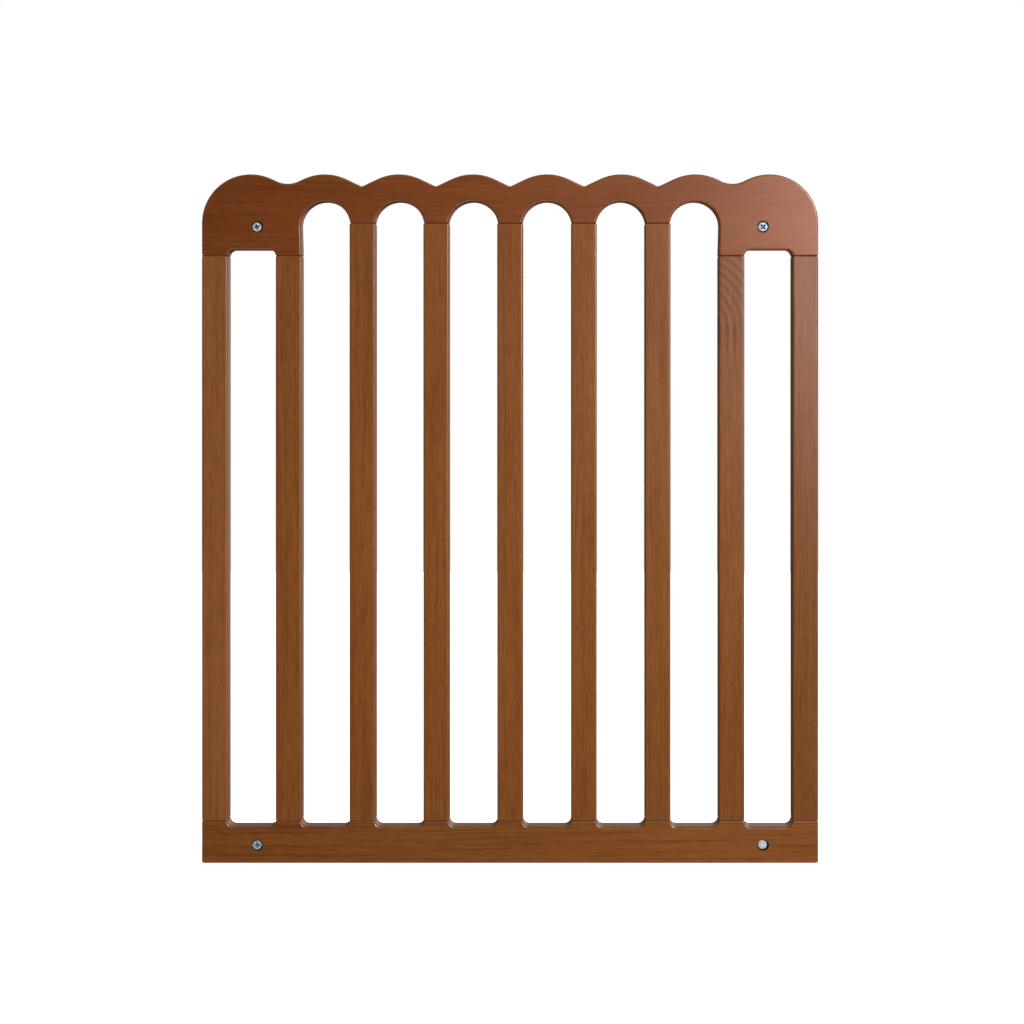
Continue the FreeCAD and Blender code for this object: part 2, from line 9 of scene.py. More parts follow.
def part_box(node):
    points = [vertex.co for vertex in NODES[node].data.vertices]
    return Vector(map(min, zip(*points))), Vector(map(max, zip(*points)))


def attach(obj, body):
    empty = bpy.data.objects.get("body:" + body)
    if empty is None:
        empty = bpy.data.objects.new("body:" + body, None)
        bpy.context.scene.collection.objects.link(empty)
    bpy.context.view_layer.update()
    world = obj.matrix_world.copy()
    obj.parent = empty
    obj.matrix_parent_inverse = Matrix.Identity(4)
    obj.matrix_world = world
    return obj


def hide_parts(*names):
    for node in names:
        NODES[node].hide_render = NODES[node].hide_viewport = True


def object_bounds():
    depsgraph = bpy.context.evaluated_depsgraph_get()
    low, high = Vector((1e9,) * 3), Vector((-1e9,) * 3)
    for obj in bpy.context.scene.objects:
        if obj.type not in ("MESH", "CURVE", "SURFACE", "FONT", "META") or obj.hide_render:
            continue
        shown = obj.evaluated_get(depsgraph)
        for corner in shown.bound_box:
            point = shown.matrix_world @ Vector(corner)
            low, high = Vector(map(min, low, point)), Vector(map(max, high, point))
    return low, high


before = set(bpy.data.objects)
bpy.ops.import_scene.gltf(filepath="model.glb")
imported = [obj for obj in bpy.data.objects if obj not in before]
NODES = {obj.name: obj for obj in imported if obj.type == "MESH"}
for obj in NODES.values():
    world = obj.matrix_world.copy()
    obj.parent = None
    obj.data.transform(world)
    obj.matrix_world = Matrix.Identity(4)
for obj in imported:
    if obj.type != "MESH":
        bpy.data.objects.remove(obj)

MM = 0.001
CAD_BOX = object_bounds()

# The picture: how much of the front face's plane it spans, the point in its middle, and the eye.
PICTURE_SPAN = 1.12886
PICTURE_CENTRE = Vector((0.00216, 0.38750))
EYE_DISTANCE = 2.0
EYE = Vector((0.060, CAD_BOX[0].y - EYE_DISTANCE, 0.535))
SENSOR = 36.0

SLATS = ["slat_{0}".format(number) for number in range(1, 10)]
OUTER_SLATS = ("slat_1", "slat_2", "slat_8", "slat_9")
CORNERS = ("top_left", "top_right", "bottom_left", "bottom_right")


# ------------------------------------------------------------------------------------ node graphs
class Graph:
    """A material and short calls for its nodes."""

    def __init__(self, name):
        self.material = bpy.data.materials.new(name)
        self.material.use_nodes = True
        self.tree = self.material.node_tree
        self.shader = self.tree.nodes["Principled BSDF"]

    def feed(self, socket, value):
        """Link a socket to another one, or set it to a constant."""
        if isinstance(value, bpy.types.NodeSocket):
            self.tree.links.new(value, socket)
        else:
            socket.default_value = value

    def add(self, kind, inputs, output=0, **settings):
        """A new node with its inputs fed and its settings made; one of its outputs."""
        node = self.tree.nodes.new("ShaderNode" + kind)
        for name, value in settings.items():
            setattr(node, name, value)
        for key, value in inputs.items():
            self.feed(node.inputs[key], value)
        return node.outputs[output]

    def math(self, operation, first, second=0.0, clamp=False):
        return self.add("Math", {0: first, 1: second}, operation=operation, use_clamp=clamp)

    def length(self, first, second):
        """The distance from the origin to a point in the plane."""
        squares = [self.math("MULTIPLY", value, value) for value in (first, second)]
        return self.math("SQRT", self.math("ADD", *squares))

    def parts(self, vector):
        """The X, Y and Z of a vector."""
        node = self.tree.nodes.new("ShaderNodeSeparateXYZ")
        self.feed(node.inputs[0], vector)
        return node.outputs[0], node.outputs[1], node.outputs[2]

    def join(self, x=0.0, y=0.0, z=0.0):
        return self.add("CombineXYZ", {0: x, 1: y, 2: z})

    def scale(self, vector, factors):
        return self.add("VectorMath", {0: vector, 1: factors}, operation="MULTIPLY")

    def noise(self, vector, factors, detail=2.0, roughness=0.5):
        """Noise from 0 to 1, with so many features a metre along each axis."""
        return self.add("TexNoise", {"Vector": self.scale(vector, factors), "Scale": 1.0,
                                     "Detail": detail, "Roughness": roughness}, "Fac")

    def swing(self, value, amount):
        """A 0 to 1 value turned into one from -amount / 2 to +amount / 2."""
        return self.math("MULTIPLY", self.math("SUBTRACT", value, 0.5), amount)

    def step(self, value, low, high):
        """0 below low, 1 above high, smooth between."""
        return self.add("MapRange", {"Value": value, "From Min": low, "From Max": high},
                        interpolation_type="SMOOTHSTEP")

    def fall(self, value, low, high):
        """1 below low, 0 above high, smooth between."""
        return self.math("SUBTRACT", 1.0, self.step(value, low, high))

    def ramp(self, value, stops):
        """A colour for each value, from (value, colour) stops."""
        node = self.tree.nodes.new("ShaderNodeValToRGB")
        self.feed(node.inputs[0], value)
        elements = node.color_ramp.elements
        while len(elements) < len(stops):
            elements.new(0.5)
        for element, (place, colour) in zip(elements, stops):
            element.position = place
            element.color = (*colour, 1.0)
        return node.outputs[0]

    def mix(self, factor, first, second):
        return self.add("Mix", {0: factor, 6: first, 7: second}, 2, data_type="RGBA")

    def bump(self, height, distance):
        return self.add("Bump", {"Height": height, "Distance": distance})

    def finish(self, **inputs):
        """Set the shader's own sockets; underscores stand for spaces."""
        for name, value in inputs.items():
            self.feed(self.shader.inputs[name.replace("_", " ")], value)
        return self.material


def grey(level):
    return (level, level, level)


# ---------------------------------------------------------------------------------------- wood
DARK_STAIN = (0.080, 0.0205, 0.0030)
MID_STAIN = (0.154, 0.0512, 0.0092)
LIGHT_STAIN = (0.243, 0.0955, 0.0225)
ROUND_STAIN_AND_HIGHLIGHT = (0.230, 0.0740, 0.0150, 1.0)      # a painted highlight on the rounded edges, over the thinner stain of sanded edges
GROOVE_STAIN_AND_OUTLINE_SHADE = (0.036, 0.0105, 0.0030, 1.0)     # dark stain gathered in the joints, and painted shade on the outer edges
ROUND_SHARE = 0.35                              # how far each of them covers the stain
OUTLINE_SHADE_SHARE = 0.42
UPPER_JOINT = 0.72                              # how dark the grooves of the joints are
LOWER_JOINT = 0.35
VARNISH_COAT = 0.25
BOARD_GLOSS = 0.5
RUBBED_GLOSS = 0.42                             # how much gloss rubbing takes off
FIGURE_FOOT = 0.590                             # where the figure's arches start, m up
FIGURE_ASIDE = 35.0 * MM                        # their middle, left of the board's left edge
FIGURE_SPACING = 8.5 * MM


class Wood:
    """How one board was cut and how it took the stain."""

    def __init__(self, upright, seed, tone=0.0, pith=(0.06, -0.16), slope=0.0, line=0.20,
                 spacing=1.6, blotch=0.26, warp=9.0, fibre=0.60, figure=0.0, bend=0.0,
                 tint=(1.0, 1.0, 1.0), fleck=0.24, painted_light_drift=0.0, fade=0.0, left=0.0):
        self.upright = upright      # grain along Z, not X
        self.seed = seed            # a place of its own in the endless grain
        self.tone = tone            # lighter or darker than the mean
        self.pith = pith            # the tree's centre, behind and beside the board
        self.slope = slope          # grain's slope in the board's face, degrees
        self.line = line            # how strongly the rings show
        self.spacing = spacing      # ring width, mm
        self.blotch = blotch        # strength of the cloudy stain
        self.warp = warp            # how far the rings wander, mm
        self.fibre = fibre          # strength of the short fibres
        self.figure = figure        # strength of the half arches in the board's upper end
        self.bend = bend            # how the rings curve up towards the right end, 1/m
        self.tint = tint            # how this board's colour leans from the others': its stain, and on slat_9 a painted sheen
        self.fleck = fleck          # strength of the ray flecks
        self.painted_light_drift = painted_light_drift          # painted light: how the colour lightens towards the right end, 1/m
        self.fade = fade            # painted light: how much lighter the right end itself is
        self.left = left            # where the board's left edge is, m

    def tinted(self, colour):
        return tuple(level * factor for level, factor in zip(colour, self.tint))


def grain_space(graph, wood):
    """Object coordinates turned so that the grain runs along X."""
    turn = (90.0 if wood.upright else 0.0) + wood.slope
    place = graph.add("TexCoord", {}, "Object")
    return graph.add("Mapping", {"Vector": place, "Rotation": (0.0, math.radians(turn), 0.0),
                                 "Location": (wood.seed * 1.37, 0.0, 0.0)})


def ring_lines(graph, grain, wood):
    """Thin uneven late-wood lines, 0 to 1, of rings round a distant pith."""
    along, deep, aside = graph.parts(grain)
    deep = graph.math("SUBTRACT", deep, wood.pith[0])
    aside = graph.math("SUBTRACT", aside, wood.pith[1])
    radius = graph.length(deep, aside)
    slow = graph.swing(graph.noise(grain, (3.2, 12.0, 12.0), 2.0), wood.warp * MM)
    quick = graph.swing(graph.noise(grain, (26.0, 60.0, 60.0), 2.0), 2.2 * MM)
    radius = graph.math("ADD", radius, graph.math("ADD", slow, quick))
    if wood.bend:
        right = graph.math("MAXIMUM", graph.parts(graph.add("TexCoord", {}, "Object"))[0], 0.0)
        rise = graph.math("MULTIPLY", graph.math("MULTIPLY", right, right), wood.bend)
        radius = graph.math("ADD", radius, rise)
    rings = graph.join(graph.math("MULTIPLY", radius, 1.0 / (wood.spacing * MM)),
                       graph.math("MULTIPLY", along, 5.0), wood.seed * 3.1)
    wave = graph.add("TexNoise", {"Vector": rings, "Scale": 1.0, "Detail": 2.0,
                                  "Roughness": 0.62}, "Fac")
    return graph.step(wave, 0.44, 0.64)


def ray_flecks(graph, grain):
    """Short dark dashes along the grain, thinned out in places."""
    cells = graph.add("TexVoronoi", {"Vector": graph.scale(grain, (120.0, 640.0, 640.0)),
                                     "Scale": 1.0, "Randomness": 1.0}, "Distance")
    there = graph.step(graph.noise(grain, (40.0, 160.0, 160.0), 1.0), 0.44, 0.60)
    return graph.math("MULTIPLY", graph.fall(cells, 0.10, 0.36), there)


def arched_figure(graph, wood):
    """Half arches of grain in the upper fifth of an upright board whose left edge is at
    wood.left, 0 to 1. They run straight down below FIGURE_FOOT."""
    place = graph.add("TexCoord", {}, "Object")
    across, _, height = graph.parts(place)
    aside = graph.math("SUBTRACT", across, wood.left - FIGURE_ASIDE)
    rise = graph.math("MAXIMUM", graph.math("SUBTRACT", height, FIGURE_FOOT), 0.0)
    wander = graph.swing(graph.noise(place, (22.0, 22.0, 14.0), 1.0), 6.0 * MM)
    level = graph.math("ADD", graph.length(aside, rise), wander)
    stripes = graph.math("SINE", graph.math("MULTIPLY", level, 2 * math.pi / FIGURE_SPACING))
    upper = graph.step(height, FIGURE_FOOT - 60.0 * MM, FIGURE_FOOT)
    return graph.math("MULTIPLY", graph.step(stripes, -0.7, 1.0), upper)


def round_edges(graph):
    """1 where the faces turn over into the rounded edges, 0 elsewhere."""
    facing = graph.math("ABSOLUTE", graph.parts(graph.add("NewGeometry", {}, "Normal"))[1])
    off = graph.math("ABSOLUTE", graph.math("SUBTRACT", facing, 0.90))
    return graph.fall(off, 0.03, 0.09)


def rubbed_and_shaded_edges(graph):
    """1 on the outer part of the rounded edges: thin varnish there, and painted shade along the
    outline.
    """
    facing = graph.math("ABSOLUTE", graph.parts(graph.add("NewGeometry", {}, "Normal"))[1])
    return graph.math("MULTIPLY", graph.step(facing, 0.04, 0.12), graph.fall(facing, 0.55, 0.82))


def joint_grooves(graph, joints):
    """Stain in the groove round each butt joint, up to 1. A joint is its height, how far out
    from the middle it reaches and how dark it is."""
    place = graph.parts(graph.add("TexCoord", {}, "Object"))
    aside = graph.math("ABSOLUTE", place[0])
    total = 0.0
    for height, reach, depth in joints:
        gap = graph.math("ABSOLUTE", graph.math("SUBTRACT", place[2], height))
        inside = graph.math("MULTIPLY", graph.math("LESS_THAN", aside, reach), depth)
        total = graph.math("ADD", total,
                           graph.math("MULTIPLY", graph.fall(gap, 0.30 * MM, 0.85 * MM), inside),
                           clamp=True)
    return total


def stained_beech(name, wood, joints):
    """Beech under a walnut-brown stain and a satin varnish."""
    graph = Graph(name)
    grain = grain_space(graph, wood)
    lines = ring_lines(graph, grain, wood)
    flecks = ray_flecks(graph, grain)
    fibre = graph.noise(grain, (55.0, 620.0, 620.0), 4.0, 0.66)
    mottle = graph.noise(grain, (60.0, 210.0, 210.0), 2.0, 0.5)
    cloud = graph.noise(grain, (5.0, 26.0, 26.0), 3.0, 0.55)
    tone = graph.math("ADD", graph.swing(cloud, wood.blotch), 0.5 + wood.tone)
    tone = graph.math("ADD", tone, graph.swing(fibre, wood.fibre))
    tone = graph.math("ADD", tone, graph.swing(mottle, 0.20))
    tone = graph.math("ADD", tone, graph.swing(graph.math("SUBTRACT", 1.0, lines), wood.line))
    # painted light: the board is lightened towards its right end, where the lamps fall
    if wood.painted_light_drift:
        across = graph.parts(graph.add("TexCoord", {}, "Object"))[0]
        tone = graph.math("ADD", tone, graph.math("MULTIPLY", across, wood.painted_light_drift))
        end = graph.step(across, 0.17, 0.33)
        tone = graph.math("ADD", tone, graph.math("MULTIPLY", end, wood.fade))
    if wood.figure:
        bands = arched_figure(graph, wood)
        tone = graph.math("SUBTRACT", tone, graph.math("MULTIPLY", bands, wood.figure))
    tone = graph.math("SUBTRACT", tone, graph.math("MULTIPLY", flecks, wood.fleck), clamp=True)
    colour = graph.ramp(tone, [(0.05, wood.tinted(DARK_STAIN)), (0.45, wood.tinted(MID_STAIN)),
                               (0.95, wood.tinted(LIGHT_STAIN))])
    edge = round_edges(graph)
    # the rounded edges are lightened: a painted highlight, partly the thinner stain of sanded
    # edges
    colour = graph.mix(graph.math("MULTIPLY", edge, ROUND_SHARE), colour, ROUND_STAIN_AND_HIGHLIGHT)
    rubbed_and_shaded = rubbed_and_shaded_edges(graph)
    # the outer part of the rounded edges is darkened: painted shade along the outline
    colour = graph.mix(graph.math("MULTIPLY", rubbed_and_shaded, OUTLINE_SHADE_SHARE), colour, GROOVE_STAIN_AND_OUTLINE_SHADE)
    groove = joint_grooves(graph, joints)
    colour = graph.mix(groove, colour, GROOVE_STAIN_AND_OUTLINE_SHADE)
    peel = graph.noise(grain, (420.0, 420.0, 420.0), 2.0)
    relief = graph.math("SUBTRACT", graph.math("MULTIPLY", fibre, 0.55),
                        graph.math("MULTIPLY", flecks, 0.5))
    relief = graph.math("SUBTRACT", relief, graph.math("MULTIPLY", lines, 0.25))
    relief = graph.math("ADD", relief, graph.math("MULTIPLY", peel, 0.5))
    gloss = graph.math("ADD", 0.29, graph.swing(cloud, 0.08))
    gloss = graph.math("ADD", gloss, graph.math("MULTIPLY", flecks, 0.10))
    coat = graph.math("SUBTRACT", VARNISH_COAT, graph.math("MULTIPLY", rubbed_and_shaded, VARNISH_COAT))
    shine = graph.math("SUBTRACT", BOARD_GLOSS, graph.math("MULTIPLY", rubbed_and_shaded, RUBBED_GLOSS))
    return graph.finish(Base_Color=colour, Roughness=gloss, Coat_Weight=coat,
                        Coat_Roughness=0.26, Specular_IOR_Level=shine,
                        Normal=graph.bump(relief, 0.04 * MM))


def raw_beech():
    """Unstained beech, for the dowels."""
    graph = Graph("raw_beech")
    grain = grain_space(graph, Wood(True, 5))
    fibre = graph.noise(grain, (20.0, 900.0, 900.0), 3.0, 0.6)
    flecks = ray_flecks(graph, grain)
    tone = graph.math("SUBTRACT", fibre, graph.math("MULTIPLY", flecks, 0.25), clamp=True)
    colour = graph.ramp(tone, [(0.2, (0.42, 0.24, 0.12)), (0.8, (0.66, 0.45, 0.27))])
    return graph.finish(Base_Color=colour, Roughness=0.75, Normal=graph.bump(fibre, 0.06 * MM))


# ------------------------------------------------------------------------------ metal and rubber
ZINC_SHADES = ((0.30, (0.22, 0.34, 0.38)), (0.50, (0.38, 0.50, 0.55)),
               (0.70, (0.58, 0.64, 0.66)))
NUT_DISC = 4.65 * MM                            # radius of a nut's lit face; painted shade rings it beyond
NUT_SHADE_COLOUR = (0.010, 0.014, 0.015, 1.0)          # painted shade round and inside it


def zinc_plate(name="zinc_plate", tint=(1.0, 1.0, 1.0), nut=None, lean=(0.0, 0.0), recess_shade=0.9):
    """Bluish zinc plating with tarnish clouds, grit and small dents. For a barrel nut in the
    box nut, painted shade sits in its recess and in a ring round its lit disc, which leans off
    the nut's middle by lean; the last argument is how dark the painted shade in the recess is."""
    graph = Graph(name)
    place = graph.add("TexCoord", {}, "Object")
    cloud = graph.noise(place, (420.0, 420.0, 420.0), 3.0, 0.6)
    grit = graph.noise(place, (2600.0, 2600.0, 2600.0), 2.0)
    drawn = graph.noise(place, (4200.0, 600.0, 4200.0), 2.0)
    colour = graph.ramp(cloud, [(level, tuple(part * factor for part, factor in zip(shade, tint)))
                                for level, shade in ZINC_SHADES])
    gloss = graph.math("ADD", 0.42, graph.swing(cloud, 0.24))
    gloss = graph.math("ADD", gloss, graph.swing(grit, 0.12))
    if nut:
        low, high = nut
        across, deep, up = graph.parts(place)
        aside = graph.math("SUBTRACT", across, (low.x + high.x) / 2 + lean[0] * MM)
        above = graph.math("SUBTRACT", up, (low.z + high.z) / 2 + lean[1] * MM)
        radius = graph.math("ADD", graph.length(aside, above), graph.swing(grit, 0.25 * MM))
        # painted shadow: a dark ring outside the lit disc, as the hole's wall would cast
        rim = graph.step(radius, NUT_DISC, NUT_DISC + 0.30 * MM)
        # painted shade, darker the deeper into the driver recess
        recess = graph.step(graph.math("SUBTRACT", deep, low.y), 0.25 * MM, 1.1 * MM)
        # the mix below lays this painted shade over the plating
        stain = graph.math("MAXIMUM", rim, graph.math("MULTIPLY", recess, recess_shade))
        colour = graph.mix(stain, colour, NUT_SHADE_COLOUR)
    relief = graph.math("ADD", graph.math("MULTIPLY", grit, 0.6), drawn)
    return graph.finish(Base_Color=colour, Metallic=0.35, Roughness=gloss,
                        Normal=graph.bump(relief, 0.015 * MM))


def spring_steel():
    """Oil-blackened spring wire."""
    graph = Graph("spring_steel")
    place = graph.add("TexCoord", {}, "Object")
    cloud = graph.noise(place, (900.0, 900.0, 900.0), 2.0)
    colour = graph.ramp(cloud, [(0.3, grey(0.05)), (0.7, grey(0.14))])
    return graph.finish(Base_Color=colour, Metallic=1.0, Roughness=0.42,
                        Normal=graph.bump(cloud, 0.01 * MM))


def foot_rubber():
    """Dark moulded rubber with dusty high spots."""
    graph = Graph("foot_rubber")
    place = graph.add("TexCoord", {}, "Object")
    pits = graph.noise(place, (1800.0, 1800.0, 1800.0), 3.0, 0.6)
    dust = graph.noise(place, (260.0, 260.0, 260.0), 3.0, 0.6)
    colour = graph.ramp(dust, [(0.35, grey(0.020)), (0.75, (0.052, 0.050, 0.048))])
    gloss = graph.math("ADD", 0.68, graph.swing(dust, 0.2))
    return graph.finish(Base_Color=colour, Roughness=gloss, Normal=graph.bump(pits, 0.03 * MM))


# ------------------------------------------------------------------------------------ mesh pieces
SMOOTH_ANGLE = 35.0                     # edges are creases above this, degrees
ROUND_SIDES = 96


def make_piece(name, fill, material, smooth_angle=SMOOTH_ANGLE):
    """An object from a bmesh that a function fills."""
    mesh = bpy.data.meshes.new(name)
    builder = bmesh.new()
    fill(builder)
    finish_mesh(builder, mesh, smooth_angle)
    piece = bpy.data.objects.new(name, mesh)
    bpy.context.scene.collection.objects.link(piece)
    mesh.materials.append(material)
    return piece


def finish_mesh(builder, mesh, smooth_angle=SMOOTH_ANGLE):
    """Weld, face outwards and shade smooth with the creases kept."""
    bmesh.ops.remove_doubles(builder, verts=builder.verts, dist=1e-6)
    bmesh.ops.dissolve_degenerate(builder, edges=builder.edges, dist=1e-7)
    bmesh.ops.recalc_face_normals(builder, faces=builder.faces)
    for face in builder.faces:
        face.smooth = True
    for edge in builder.edges:
        angle = edge.calc_face_angle(0.0) if len(edge.link_faces) == 2 else 0.0
        edge.smooth = angle < math.radians(smooth_angle)
    builder.to_mesh(mesh)
    builder.free()


def circle_points(along, radius, sides):
    """Points round the X axis; the radius may be a function of the angle."""
    points = []
    for number in range(sides):
        angle = 2 * math.pi * number / sides
        reach = radius(angle) if callable(radius) else radius
        points.append((along, reach * math.cos(angle), reach * math.sin(angle)))
    return points


def bridge(builder, first, second):
    """Faces between two rings of as many points, or between a ring and one point."""
    count = max(len(first), len(second))
    for number in range(count):
        after = (number + 1) % count
        if len(first) == 1:
            builder.faces.new((first[0], second[after], second[number]))
        elif len(second) == 1:
            builder.faces.new((first[number], first[after], second[0]))
        else:
            builder.faces.new((first[number], first[after], second[after], second[number]))


def turned(builder, profile, sides=ROUND_SIDES, closed=False):
    """Spin (along, radius) points about X; a radius of 0 is one point on the axis."""
    rings = []
    for along, radius in profile:
        on_axis = not callable(radius) and radius < 1e-7
        points = [(along, 0.0, 0.0)] if on_axis else circle_points(along, radius, sides)
        rings.append([builder.verts.new(point) for point in points])
    pairs = list(zip(rings, rings[1:]))
    if closed:
        pairs.append((rings[-1], rings[0]))
    for first, second in pairs:
        bridge(builder, first, second)


def arc(centre, radius, start, end, steps):
    """Points of an arc as (along, radius) pairs, angles in degrees."""
    points = []
    for number in range(steps + 1):
        angle = math.radians(start + (end - start) * number / steps)
        points.append((centre[0] + radius * math.cos(angle),
                       centre[1] + radius * math.sin(angle)))
    return points


def cut(piece, tools):
    """Subtract the tools from a piece and remove them."""
    for tool in tools:
        modifier = piece.modifiers.new("cut", "BOOLEAN")
        modifier.operation = "DIFFERENCE"
        modifier.solver = "EXACT"
        modifier.object = tool
    bpy.context.view_layer.update()
    graph = bpy.context.evaluated_depsgraph_get()
    mesh = bpy.data.meshes.new_from_object(piece.evaluated_get(graph))
    piece.modifiers.clear()
    piece.data = mesh
    for tool in tools:
        bpy.data.objects.remove(tool)
    builder = bmesh.new()
    builder.from_mesh(mesh)
    finish_mesh(builder, mesh)


def fixing(node):
    """The matrix from a fixing's own frame, X outwards and 0 at the rail's end, to the gate's
    frame; the fixing's inner and outer ends along that X; its radius."""
    low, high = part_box(node)
    middle = (low + high) / 2
    side = 1.0 if middle.x > 0 else -1.0
    turn = Matrix.Identity(4) if side > 0 else Matrix.Rotation(math.pi, 4, "Z")
    rail_end = CAD_BOX[1].x if side > 0 else CAD_BOX[0].x
    matrix = Matrix.Translation(Vector((rail_end, middle.y, middle.z))) @ turn
    inner, outer = sorted((matrix.inverted() @ point).x for point in (low, high))
    return matrix, inner, outer, (high.z - low.z) / 2


def stand_in(piece, node, body, matrix):
    """Put a finished piece in a CAD node's place."""
    piece.data.transform(matrix)
    if matrix.determinant() < 0:
        piece.data.flip_normals()
    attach(piece, body)
    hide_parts(node)


# ------------------------------------------------------------------------------------ barrel nuts
NUT_RADIUS = 6.0 * MM
NUT_BEVEL = 0.8 * MM
NUT_RIM = 0.18 * MM
NUT_THREAD = 4.0 * MM
CROSS_REACH = 3.7 * MM
CROSS_HALF_WIDTH = 0.95 * MM
CROSS_DEPTH = 2.8 * MM
CROSS_TAPER = ((-0.25, 1.03, 1.0), (0.55, 0.74, 0.9), (1.0, 0.36, 0.72))    # of those three
EAR_HALF_WIDTH = 0.8 * MM
EAR_FOOT = NUT_RADIUS - NUT_BEVEL * 1.3         # radii between which the rib stands
EAR_TOP = NUT_RADIUS - 0.05 * MM
EAR_BACK = NUT_BEVEL * 1.4                      # how far back from the nut's end it reaches


def nut_profile(front, back):
    """Half section of the barrel along its own axis, from the visible end backwards."""
    flat = NUT_RADIUS - NUT_BEVEL - NUT_RIM
    points = [(front, 0.0), (front, flat)]
    points += arc((front + NUT_RIM, flat), NUT_RIM, 180.0, 135.0, 3)[1:]
    points += [(front + NUT_BEVEL, NUT_RADIUS), (back - NUT_BEVEL, NUT_RADIUS),
               (back, NUT_RADIUS - NUT_BEVEL), (back, 0.0)]
    return points


def cross_tool(front):
    """A tapered driver cross to cut from the nut's visible end."""

    def fill(builder):
        rings = []
        for depth, reach, half in CROSS_TAPER:
            ring = []
            for quarter in range(4):
                angle = quarter * math.pi / 2
                wide = CROSS_HALF_WIDTH * half
                for across, up in ((reach * CROSS_REACH, -wide), (reach * CROSS_REACH, wide),
                                   (wide, wide)):
                    ring.append(builder.verts.new((
                        front + depth * CROSS_DEPTH,
                        across * math.cos(angle) - up * math.sin(angle),
                        across * math.sin(angle) + up * math.cos(angle))))
            rings.append(ring)
        for first, second in zip(rings, rings[1:]):
            bridge(builder, first, second)
        builder.faces.new(rings[0])
        builder.faces.new(rings[-1])

    return fill


def thread_tool(builder):
    """The nut's threaded hole, across the barrel."""
    bmesh.ops.create_cone(builder, cap_ends=True, segments=64, radius1=NUT_THREAD,
                          radius2=NUT_THREAD, depth=4 * NUT_RADIUS)


def ear(front, side):
    """A small rib left on the bevel, level with the thread."""

    def fill(builder):
        places = ((front + 0.06 * MM, EAR_FOOT), (front + 0.12 * MM, EAR_TOP),
                  (front + EAR_BACK, EAR_TOP), (front + EAR_BACK, EAR_FOOT))
        loops = [[builder.verts.new((along, side * out, half)) for along, out in places]
                 for half in (-EAR_HALF_WIDTH, EAR_HALF_WIDTH)]
        bridge(builder, *loops)
        builder.faces.new(loops[0])
        builder.faces.new(loops[1])

    return fill


def build_barrel_nut(corner, zinc, turn, aside, tint, lean, recess_shade):
    """A detailed barrel nut in place of the plain one. Its own frame has the barrel along X;
    turn is how far its driver cross is rolled, in degrees, or None without one, and aside is
    how far the cross stands off the nut's middle, in mm."""
    node = "barrel_nut_" + corner
    low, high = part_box(node)
    material = zinc_plate("zinc_" + corner, tint, (low, high), lean, recess_shade)
    centre = (low + high) / 2
    piece = make_piece("nut_" + corner,
                       lambda builder: turned(builder, nut_profile(low.y, high.y)), material)
    tools = [make_piece("tool_thread", thread_tool, material)]
    if turn is not None:
        blade = make_piece("tool_cross", cross_tool(low.y), material)
        blade.data.transform(Matrix.Translation((0.0, aside * MM, 0.0))
                             @ Matrix.Rotation(math.radians(turn), 4, "X"))
        tools.append(blade)
    cut(piece, tools)
    # the barrel's own X becomes the gate's Y, and its Y becomes X
    lay = Matrix(((0, 1, 0, centre.x), (1, 0, 0, 0), (0, 0, 1, centre.z), (0, 0, 0, 1)))
    stand_in(piece, node, "root", lay)
    if corner in RIBBED_NUTS:
        for side, label in ((-1, "left"), (1, "right")):
            rib = make_piece("nut_rib_{0}_{1}".format(corner, label), ear(low.y, side), zinc)
            rib.data.transform(lay)
            rib.data.flip_normals()
            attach(rib, "root")


# ----------------------------------------------------------------------------- spindles and feet
THREAD_PITCH = 1.25 * MM
THREAD_DEPTH = 0.60 * MM
THREAD_SHAPE = (1.0, 1.0, 0.0, 0.0)     # crest, crest, root, root, evenly along one pitch
THREAD_RUN_IN = 1.2 * MM
THREAD_RUN_OUT = 0.7 * MM
THREAD_SMOOTH = 28.0                    # its creases, degrees
SPINDLE_SIDES = 36
JOURNAL_BEVEL = 0.4 * MM
SOCKET_DEPTH = 4.0 * MM
SOCKET_ROUND = 2.31 * MM                # half the socket's width over its corners
JOURNAL_ROUND = 3.0 * MM
GROOVE_ROUND = 2.75 * MM
THREAD_START = -16.5 * MM               # along the spindle, 0 at the rail's end
GROOVE_PLACE = -13.5 * MM
GROOVE_HALF = 0.6 * MM


def hexagon(angle):
    """Radius of the key's socket."""
    within = angle % (math.pi / 3) - math.pi / 6
    return SOCKET_ROUND * math.cos(math.pi / 6) / math.cos(within)


def thread_rows(builder, end, start, outer):
    """The helical flanks, clamped to the two ends of the thread."""
    steps = len(THREAD_SHAPE)
    core = outer - THREAD_DEPTH
    count = int(math.ceil((start - end) / THREAD_PITCH * steps)) + 2 * steps + 1
    grid = []
    for row in range(count):
        line = []
        for side in range(SPINDLE_SIDES):
            turn = side / SPINDLE_SIDES
            along = end + (row / steps - 1.0 + turn) * THREAD_PITCH
            held = min(max(along, end), start)
            taper = min((held - end) / THREAD_RUN_IN, (start - held) / THREAD_RUN_OUT, 1.0)
            radius = min(core + THREAD_DEPTH * THREAD_SHAPE[row % steps],
                         core + THREAD_DEPTH * taper)
            angle = 2 * math.pi * turn
            line.append(builder.verts.new((held, radius * math.cos(angle),
                                           radius * math.sin(angle))))
        grid.append(line)
    for row in range(count - 1):
        for side in range(SPINDLE_SIDES - 1):
            builder.faces.new((grid[row][side], grid[row][side + 1], grid[row + 1][side + 1],
                               grid[row + 1][side]))
        if row + 1 + steps < count:
            builder.faces.new((grid[row][-1], grid[row + steps][0], grid[row + 1 + steps][0],
                               grid[row + 1][-1]))


